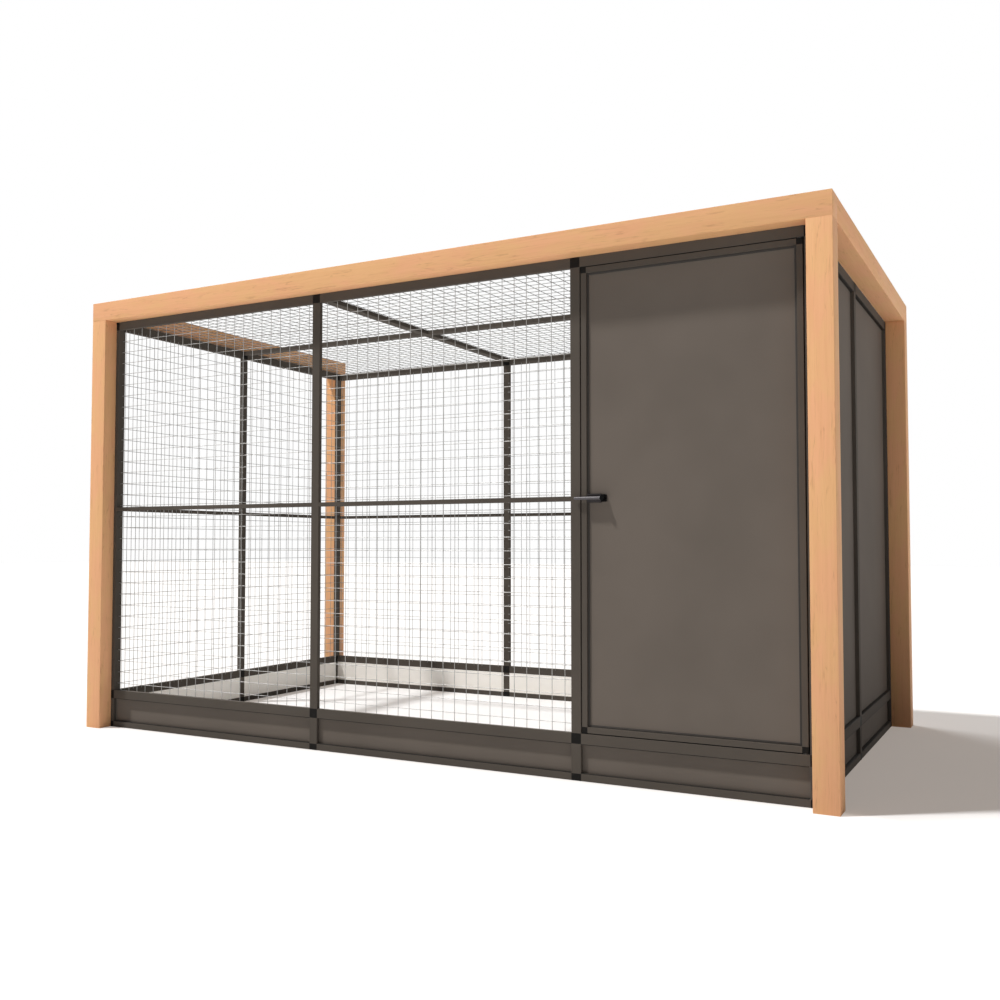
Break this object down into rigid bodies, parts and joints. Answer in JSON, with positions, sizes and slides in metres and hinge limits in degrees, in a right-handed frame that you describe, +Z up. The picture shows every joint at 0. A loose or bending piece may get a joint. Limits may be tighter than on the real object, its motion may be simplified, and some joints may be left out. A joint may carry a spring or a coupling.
{
  "type": "pet run",
  "caption": "Walk-in pet run: a timber portal frame round a cage of dark hollow profiles, welded wire mesh and sheet panels, with a hinged door and a lever latch.",
  "frame": {"origin": "centre of the run's rectangular footprint, on the ground under its posts", "axes": "+Z up, +X to the right seen from in front, along the run's length, +Y to the back; the door side faces -Y"},
  "size_m": [3.584, 1.974, 2.1],
  "materials": {
    "wood": "planed, clear oiled",
    "profile": "dark powder coat, fine matt",
    "sheet": "dark powder coat, satin",
    "plug": "black moulded nylon",
    "wire": "galvanised, weathered",
    "liner": "pale matt board",
    "lever": "satin",
    "steel": "black oxide"
  },
  "bodies": {
    "run": {"post_front_left": "wood", "post_front_right": "wood", "post_rear_left": "wood", "post_rear_right": "wood", "beam_front": "wood", "beam_left": "wood", "beam_right": "wood", "front_top_rails": "profile", "front_kick_rails": "profile", "front_sill_rails": "profile", "front_mid_rails": "profile", "front_mullions": "profile", "left_top_rails": "profile", "left_kick_rails": "profile", "left_sill_rails": "profile", "left_mid_rails": "profile", "left_uprights": "profile", "right_top_rails": "profile", "right_kick_rails": "profile", "right_sill_rails": "profile", "right_uprights": "profile", "rear_top_rails": "profile", "rear_kick_rails": "profile", "rear_sill_rails": "profile", "rear_mid_rails": "profile", "rear_mullions": "profile", "roof_cross_rails": "profile", "roof_spine_rails": "profile", "top_connectors": "plug", "kick_connectors": "plug", "sill_connectors": "plug", "front_mesh_left": "wire", "front_mesh_middle": "wire", "left_mesh_front": "wire", "left_mesh_rear": "wire", "rear_mesh_left": "wire", "rear_mesh_middle": "wire", "roof_mesh_left": "wire", "roof_mesh_middle": "wire", "roof_mesh_right": "wire", "front_kick_panels": "sheet", "left_kick_panels": "sheet", "rear_kick_panels": "sheet", "right_kick_panels": "sheet", "kick_liners": "liner", "right_wall_panels": "sheet", "rear_wall_panel": "sheet", "door_stops": "profile", "hinge_pins": "steel"},
    "door": {"door_stiles": "profile", "door_rails": "profile", "door_corners": "plug", "door_panel": "sheet", "handle_rose": "plug"},
    "lever": {"lever_head": "plug", "lever_bar": "lever", "latch_cam": "steel", "latch_nut": "steel"}
  },
  "joints": [
    {"name": "door_hinge", "type": "hinge", "parent": "run", "child": "door", "pos_m": [1.666, -0.90715, 1.0745], "axis": [0, 0, 1], "range_deg": [0, 95]},
    {"name": "lever_turn", "type": "hinge", "parent": "door", "child": "lever", "pos_m": [0.926, -0.917, 1.073], "axis": [0, -1, 0], "range_deg": [0, 90]}
  ]
}
